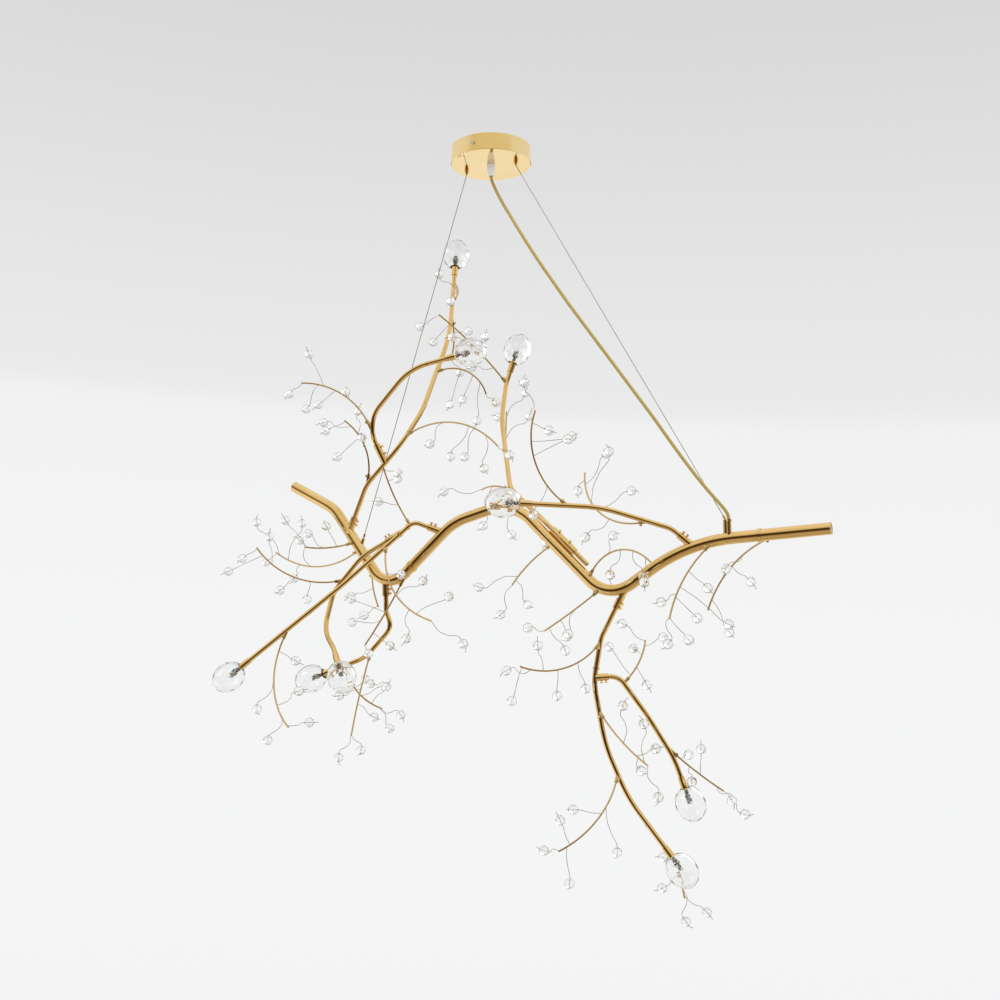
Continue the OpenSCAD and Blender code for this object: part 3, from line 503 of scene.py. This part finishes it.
def globe(letter, place):
    """Blown glass: faint dimples all over an egg, on a smooth inner face."""
    inner_r, inner_a = GLASS_R - GLASS_WALL, GLASS_A - GLASS_WALL
    neck_in = math.asin(NECK_R / inner_r)
    neck_out = math.asin((NECK_R + GLASS_WALL) / GLASS_R)
    centre = CUP_L - 1 + inner_a * math.cos(neck_in)
    dimples = []
    for i in range(DIMPLES):
        z = 1 - 2 * (i + 0.5) / DIMPLES
        t = i * GOLDEN_TURN + ord(letter)
        dimples.append(Vector((math.sqrt(1 - z * z) * math.cos(t),
                               math.sqrt(1 - z * z) * math.sin(t), z)))
    sides, rings = GLASS_SIDES, GLASS_RINGS
    verts, faces = [], []

    def ring(r, a, angle, dents):
        """One ring of an egg of radius r and half length a, angle round from its neck."""
        start = len(verts)
        for k in range(sides):
            t = 2 * math.pi * k / sides
            d = Vector((math.sin(angle) * math.cos(t), math.sin(angle) * math.sin(t),
                        -math.cos(angle)))
            near = max(d.dot(c) for c in dimples) if dents else -1
            away = math.degrees(math.acos(max(-1, min(1, near))))
            dent = DENT * max(0, 1 - (away / DENT_REACH) ** 2) if dents else 0
            verts.append(place @ (Vector((
                d.x * (r - dent), d.y * (r - dent), centre + d.z * (a - dent))) * MM))
        return list(range(start, start + sides))

    loops = [ring(inner_r, inner_a, math.pi - (math.pi - neck_in) * i / rings, False)
             for i in range(1, rings + 1)]
    loops += [ring(GLASS_R, GLASS_A, neck_out + (math.pi - neck_out) * i / rings, True)
              for i in range(rings)]
    for a, b in zip(loops, loops[1:]):
        for k in range(sides):
            j = (k + 1) % sides
            faces.append((a[k], a[j], b[j], b[k]))
    for loop, height in ((loops[0], centre + inner_a), (loops[-1], centre + GLASS_A - 0.6)):
        tip = len(verts)
        verts.append(place @ Vector((0, 0, height * MM)))
        faces.extend((loop[k], loop[(k + 1) % sides], tip) for k in range(sides))
    node = "arm_%s_glass" % letter
    outward(add("arm_%s_globe" % letter, verts, faces, GLOBE, "arm_" + letter, [node],
                "lamp_glass"))


def arc(r, z, steps):
    """A quarter circle of radius r about height z, 9 degrees to a step."""
    return [(r * math.cos(t), z + r * math.sin(t)) for t in (math.radians(9 * i) for i in steps)]


def legs(points, r, place, verts, faces):
    """A pair of bent pins, one to each side of the lamp's axis."""
    for side in (-1, 1):
        path = [place @ (Vector((side * x, 0, z)) * MM) for x, z in points]
        tube(path, r * MM, 8, verts, faces)


def bulb(letter, place):
    """A capsule bulb: ceramic holder, clear envelope, dark pins and foil, stays and coil."""
    node, body = "arm_%s_lamp" % letter, "arm_" + letter
    name = "arm_%s_" % letter
    outward(add(name + "holder", *turned(HOLDER, place, 40), CERAMIC, body, [node], "bulb"))
    skin = ENVELOPE_FOOT + arc(ENVELOPE_R, DOME_Z, range(11))
    skin += arc(ENVELOPE_IN_R, DOME_Z, reversed(range(11))) + [(ENVELOPE_IN_R, 21.6), (0, 20.2)]
    outward(add(name + "envelope", *turned(skin, place, 40), QUARTZ, body, [node], "bulb"))
    verts, faces = [], []
    legs(PIN, PIN_R, place, verts, faces)
    for foot, top, r in FOIL:
        turned([(0.6, foot), (r, foot), (r + 0.1, (foot + top) / 2), (r, top), (0.6, top),
                (0.6, foot)], place, 24, verts, faces)
    outward(add(name + "pins", verts, faces, DARK_PIN, body, [node], "steel"))
    verts, faces = [], []
    legs(STAY, STAY_R, place, verts, faces)
    outward(add(name + "stays", verts, faces, GOLD_ROD, body, [node], "steel"))
    coil = []
    for i in range(COIL_STEPS * COIL_TURNS + 1):
        t = i * 2 * math.pi / COIL_STEPS
        z = COIL_FOOT + t / 6.283 * COIL_PITCH
        coil.append(place @ (Vector((COIL_R * math.cos(t), COIL_R * math.sin(t), z)) * MM))
    outward(add(name + "coil", *tube(coil, COIL_WIRE_R * MM, 6), DARK_PIN, body, [node], "steel"))


for letter in LETTERS:
    spot = lamp_place(letter)
    globe(letter, spot)
    bulb(letter, spot)

# ---- finishes of the CAD nodes --------------------------------------------------------------
FINISH = {
    "canopy_shell": GOLD_CANOPY, "ceiling_bracket": SHEET, "canopy_screws": CHROME,
    "lamp_driver": CASE, "cord_grip": NYLON, "cable_grippers": GOLD_SCREW,
    "cable_anchors": GOLD, "trunk_tube": GOLD, "trunk_end_plugs": GOLD,
    "trunk_sleeves": GOLD, "trunk_twigs": GOLD_ROD, "left_cable": STEEL,
    "right_cable": STEEL, "power_cord": BRAID, "trunk_beads": CRYSTAL}
for letter in LETTERS:
    FINISH["arm_%s_tube" % letter] = GOLD
    FINISH["arm_%s_twigs" % letter] = GOLD_ROD
    FINISH["arm_%s_lamp" % letter] = QUARTZ
    FINISH["arm_%s_glass" % letter] = GLOBE
    FINISH["arm_%s_beads" % letter] = CRYSTAL
for name, node in NODES.items():
    node.data.materials.clear()
    node.data.materials.append(FINISH[name])


# ---- room and light -------------------------------------------------------------------------
def grey(v, cool=0.0):
    """A grey, a little blue with cool."""
    return (v * (1 - cool), v, v * (1 + cool))


# The room's colours by height, and the painted reflections by height: 0 is straight down, 0.5
# level and 1 straight up
SEEN = [
    (0.0, grey(0.80)), (0.36, grey(0.90, 0.002)), (0.44, grey(0.915, 0.004)),
    (0.52, grey(0.91, 0.004)), (0.592, grey(0.885, 0.004)), (0.600, grey(0.825, 0.002)),
    (0.64, grey(0.79)), (0.73, grey(0.69)), (1.0, grey(0.66))]
# Painted reflection, seen only by glossy rays: warm, tinted bands that paint darker, browner
# reflections onto the gold
PAINTED_REFLECTION = [
    (0.0, (0.46, 0.38, 0.27)), (0.25, (0.95, 0.92, 0.86)), (0.37, (0.92, 0.87, 0.78)),
    (0.43, (0.40, 0.32, 0.20)), (0.53, (0.34, 0.26, 0.16)), (0.60, (0.84, 0.80, 0.72)),
    (0.8, (0.80, 0.77, 0.70)), (1.0, (0.92, 0.90, 0.86))]
# Painted dark, warm reflection for the half on the camera's side, seen only by glossy rays
PAINTED_DARK_REFLECTION = [
    (0.0, (0.44, 0.35, 0.23)), (0.20, (0.42, 0.33, 0.21)), (0.29, (0.17, 0.11, 0.06)),
    (0.36, (0.05, 0.03, 0.012)), (0.56, (0.05, 0.03, 0.012)), (0.63, (0.36, 0.31, 0.22)),
    (0.69, (0.72, 0.63, 0.38)), (0.76, (0.76, 0.72, 0.58)), (1.0, (0.90, 0.88, 0.82))]
# Light that matt surfaces get from the room
AMBIENT = grey(0.78)
# How far the bands tilt: this share of a direction's X is added to its Z
BAND_TILT = 0.05
# The way from the part to the camera's side, where the painted dark half of the reflections
# starts, and how sharply
CAMERA_SIDE = (0.40, -0.915)
HALF_START, HALF_SLOPE = 0.28, 3.2
FLOOR_R, FLOOR_Z = 3.0, -2.3
FLOOR_FADE = (1.6, 2.9)
# Lamps: name, place, point aimed at, size and watts
LAMPS = [
    ("key", (-1.9, -1.6, 0.7), (0, 0, -0.55), (1.4, 1.4), 14),
    ("fill", (2.3, -0.9, -0.2), (0, 0, -0.6), (1.0, 1.8), 6),
    ("rim", (0.3, 2.4, 0.2), (0, 0, -0.6), (2.0, 1.0), 8)]


def room():
    """The white room by kind of ray. The camera, and light through glass, see the pale wall
    and the greyer ceiling. Polished metal sees painted reflections: warm bands, and a painted dim,
    warm half on the camera's side."""
    world = bpy.data.worlds.new("room")
    bpy.context.scene.world = world
    world.use_nodes = True
    nodes, links = world.node_tree.nodes, world.node_tree.links
    back = nodes["Background"]
    place = nodes.new("ShaderNodeTexCoord")
    split = nodes.new("ShaderNodeSeparateXYZ")
    links.new(place.outputs["Generated"], split.inputs["Vector"])

    def maths(kind, a, b=None, clamp=False):
        n = nodes.new("ShaderNodeMath")
        n.operation = kind
        n.use_clamp = clamp
        for i, v in enumerate((a, b)):
            if isinstance(v, (int, float)):
                n.inputs[i].default_value = v
            elif v is not None:
                links.new(v, n.inputs[i])
        return n.outputs[0]

    def ramp(fac, stops):
        n = nodes.new("ShaderNodeValToRGB")
        n.color_ramp.elements[0].position = stops[0][0]
        n.color_ramp.elements[0].color = (*stops[0][1], 1)
        n.color_ramp.elements[1].position = stops[-1][0]
        n.color_ramp.elements[1].color = (*stops[-1][1], 1)
        for at, colour in stops[1:-1]:
            n.color_ramp.elements.new(at).color = (*colour, 1)
        links.new(fac, n.inputs["Fac"])
        return n.outputs["Color"]

    side = maths("MULTIPLY", split.outputs["X"], BAND_TILT)
    level = maths("ADD", split.outputs["Z"], side)
    height = maths("ADD", maths("MULTIPLY", level, 0.5), 0.5)
    seen = ramp(height, SEEN)
    # Mask of the painted dark half of the reflections, on the camera's side
    behind = maths("ADD", maths("MULTIPLY", split.outputs["X"], CAMERA_SIDE[0]),
                   maths("MULTIPLY", split.outputs["Y"], CAMERA_SIDE[1]))
    painted_dark_half_mask = maths("MULTIPLY", maths("SUBTRACT", behind, HALF_START), HALF_SLOPE, True)
    # Painted reflection colours for glossy rays, by height
    painted_reflection_colour = ramp(height, PAINTED_REFLECTION)
    dark = ramp(height, PAINTED_DARK_REFLECTION)
    rays = nodes.new("ShaderNodeLightPath")

    def choose(fac, a, b):
        n = nodes.new("ShaderNodeMix")
        n.data_type = "RGBA"
        for socket, v in ((0, fac), (6, a), (7, b)):
            if isinstance(v, tuple):
                n.inputs[socket].default_value = (*v, 1)
            else:
                links.new(v, n.inputs[socket])
        return n.outputs[2]

    # Glossy rays see the painted reflections; other rays off the object get plain ambient light
    lit = choose(rays.outputs["Is Glossy Ray"], AMBIENT, choose(painted_dark_half_mask, painted_reflection_colour, dark))
    plain = maths("MAXIMUM", rays.outputs["Is Camera Ray"], rays.outputs["Is Transmission Ray"])
    links.new(choose(plain, lit, seen), back.inputs["Color"])
    back.inputs["Strength"].default_value = 1.0


def lamp(name, place, aim_at, size, power):
    """A soft rectangular lamp that mirrors don't show."""
    light = bpy.data.lights.new(name, "AREA")
    light.shape = "RECTANGLE"
    light.size, light.size_y = size
    light.energy = power
    obj = bpy.data.objects.new(name, light)
    bpy.context.scene.collection.objects.link(obj)
    obj.visible_glossy = False
    obj.location = place
    obj.rotation_mode = "QUATERNION"
    obj.rotation_quaternion = (Vector(aim_at) - Vector(place)).to_track_quat("-Z", "Y")


def floor():
    """A plain pale disc, well below, that fades out before it meets the wall."""
    m, nodes, links, shader = material("pale_floor")
    place = nodes.new("ShaderNodeTexCoord")
    reach = nodes.new("ShaderNodeVectorMath")
    reach.operation = "LENGTH"
    links.new(place.outputs["Object"], reach.inputs[0])
    shader.inputs["Base Color"].default_value = (0.88, 0.88, 0.88, 1)
    shader.inputs["Roughness"].default_value = 0.9
    links.new(spread(nodes, links, reach.outputs["Value"], 1, 0, *FLOOR_FADE),
              shader.inputs["Alpha"])
    bm = bmesh.new()
    bmesh.ops.create_circle(bm, cap_ends=True, segments=96, radius=FLOOR_R)
    mesh = bpy.data.meshes.new("pale_floor")
    bm.to_mesh(mesh)
    bm.free()
    mesh.materials.append(m)
    obj = bpy.data.objects.new("pale_floor", mesh)
    bpy.context.scene.collection.objects.link(obj)
    obj.location = (0, 0, FLOOR_Z)
    obj.visible_glossy = False


room()
floor()
for light in LAMPS:
    lamp(*light)
